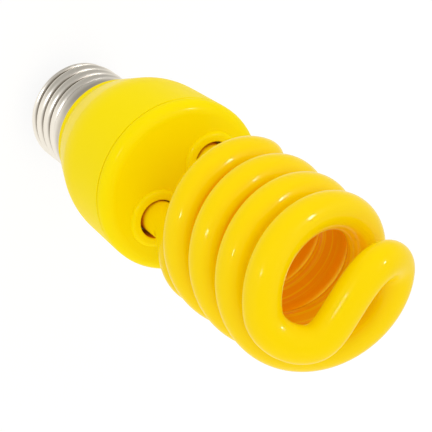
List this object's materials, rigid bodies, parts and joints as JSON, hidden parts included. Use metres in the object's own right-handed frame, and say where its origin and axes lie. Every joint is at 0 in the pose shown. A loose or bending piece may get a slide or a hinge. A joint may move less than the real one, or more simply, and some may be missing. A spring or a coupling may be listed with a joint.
{
  "type": "insect repellent bulb",
  "caption": "Spiral compact fluorescent lamp: screw cap, bell-shaped plastic ballast housing and a yellow-coated spiral tube whose light draws fewer insects.",
  "frame": {"origin": "centre of the contact's flat end, on the lamp's axis", "axes": "+Z along the lamp's axis, from the screw cap to the tip of the glass tube"},
  "size_m": [0.0422, 0.0422, 0.1364],
  "materials": {
    "nickel": "polished nickel plate",
    "cap_glass": "black glass",
    "contact_metal": "tinned",
    "housing_plastic": "satin yellow",
    "coated_glass": "glossy yellow coating",
    "cement": "matt white",
    "lead_wire": "bright wire",
    "post_metal": "tinned",
    "board_laminate": "paper laminate",
    "can_sleeve": "black sleeve",
    "ferrite": "ground ferrite",
    "bobbin_plastic": "moulded",
    "copper_wire": "enamelled copper",
    "chip_resin": "moulded resin",
    "resistor_lacquer": "lacquered",
    "film_lacquer": "dipped lacquer",
    "trigger_glass": "blue glass",
    "fuse_sleeve": "shrunk sleeve",
    "live_insulation": "red insulation",
    "neutral_insulation": "white insulation"
  },
  "bodies": {
    "root": {"screw_shell": "nickel", "cap_insulator": "cap_glass", "centre_contact": "contact_metal", "housing_base": "housing_plastic", "housing_cover": "housing_plastic", "glass_tube": "coated_glass", "tube_cement": "cement", "filament_leads": "lead_wire", "wire_posts": "post_metal", "circuit_board": "board_laminate", "bulk_capacitor": "can_sleeve", "choke_core": "ferrite", "choke_bobbin": "bobbin_plastic", "choke_winding": "copper_wire", "ring_core": "ferrite", "ring_windings": "copper_wire", "transistors": "chip_resin", "rectifier_diodes": "chip_resin", "resistors": "resistor_lacquer", "trigger_diode": "trigger_glass", "resonant_capacitor": "film_lacquer", "coupling_capacitor": "film_lacquer", "start_capacitor": "film_lacquer", "filter_choke": "ferrite", "fuse_resistor": "fuse_sleeve", "live_wire": "live_insulation", "neutral_wire": "neutral_insulation"}
  },
  "joints": []
}
